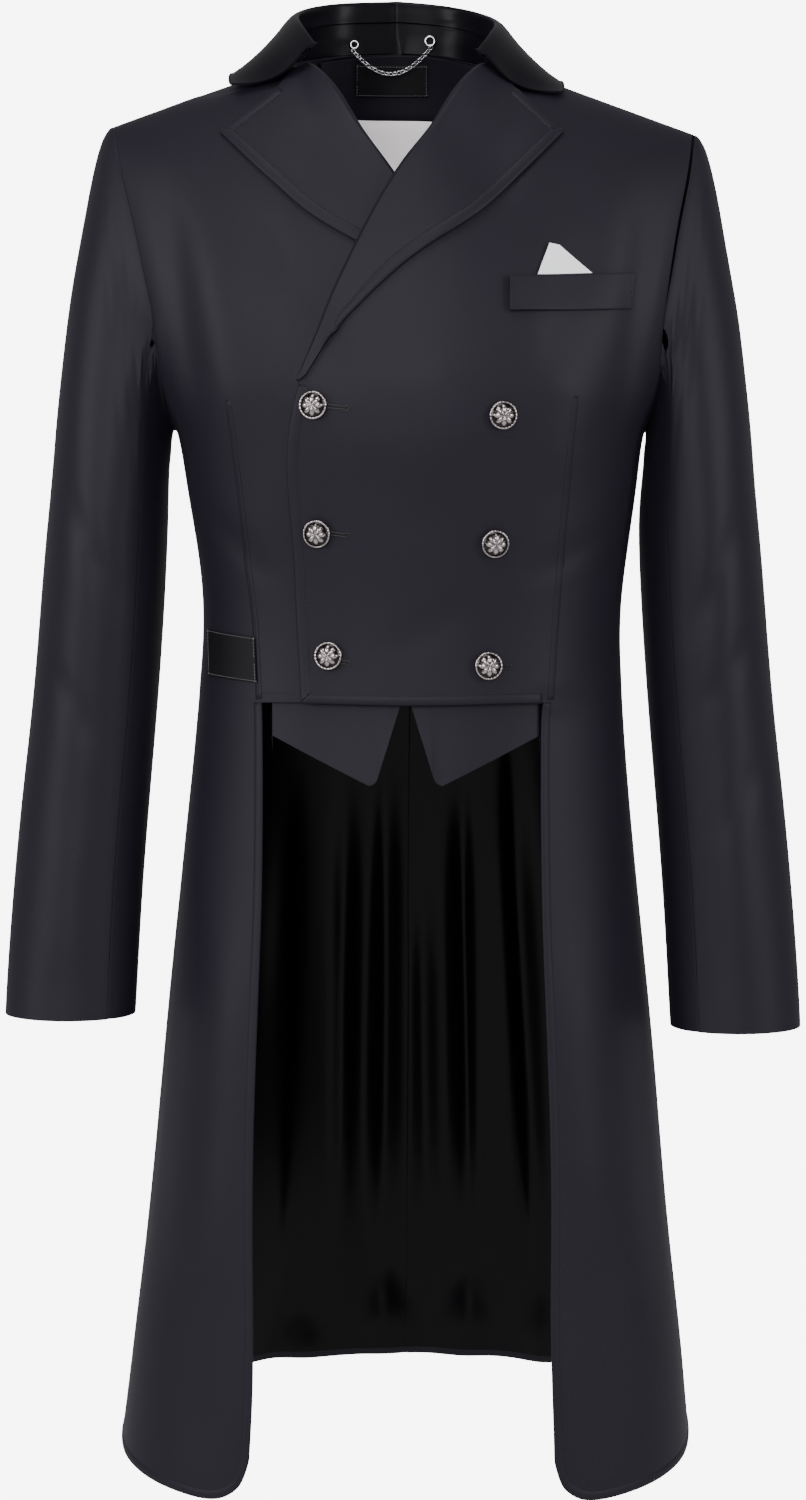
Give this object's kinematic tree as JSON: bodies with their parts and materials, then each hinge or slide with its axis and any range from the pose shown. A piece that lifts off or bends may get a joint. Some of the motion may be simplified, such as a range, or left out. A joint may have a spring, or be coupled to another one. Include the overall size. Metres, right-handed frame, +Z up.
{
  "type": "tailcoat",
  "caption": "Double-breasted tailcoat, cut short in front with long tails behind, hollow as worn, with a turned-down collar, peaked lapels, domed buttons and a breast pocket.",
  "frame": {"origin": "middle of the shoulder line, between the two neck points, where the wearer's neck and shoulders carry the coat", "axes": "+Z up, -Y out of the coat's front, +X towards the wearer's left"},
  "size_m": [0.6212, 0.3758, 1.1517],
  "materials": {
    "cloth": "fine smooth navy-charcoal suiting, matt",
    "sateen": "black sateen with a soft sheen",
    "satin": "black satin lining",
    "pale_lining": "pale pinkish-grey lining satin",
    "white_cotton": "white cotton",
    "label": "bare black woven label",
    "gunmetal": "polished dark silver",
    "steel": "polished silver"
  },
  "bodies": {
    "root": {"front_left": "cloth", "front_right": "cloth", "back_left": "cloth", "back_right": "cloth", "waistcoat_point_left": "cloth", "waistcoat_point_right": "cloth", "tail_front_left": "cloth", "tail_front_right": "cloth", "tail_back_left": "cloth", "tail_back_right": "cloth", "top_sleeve_left": "cloth", "top_sleeve_right": "cloth", "under_sleeve_left": "cloth", "under_sleeve_right": "cloth", "lapel_left": "cloth", "lapel_right": "cloth", "neck_facing": "cloth", "pocket_welt": "cloth", "collar_stand": "sateen", "collar_leaf": "sateen", "tail_lining_left": "satin", "tail_lining_right": "satin", "back_lining_left": "pale_lining", "back_lining_right": "pale_lining", "pocket_square": "white_cotton", "neck_label": "label", "hip_patch": "label", "hanger_chain": "steel", "chain_ring": "steel", "chain_staple": "steel", "button_edge_1": "gunmetal", "button_edge_2": "gunmetal", "button_edge_3": "gunmetal", "button_inner_1": "gunmetal", "button_inner_2": "gunmetal", "button_inner_3": "gunmetal"}
  },
  "joints": []
}
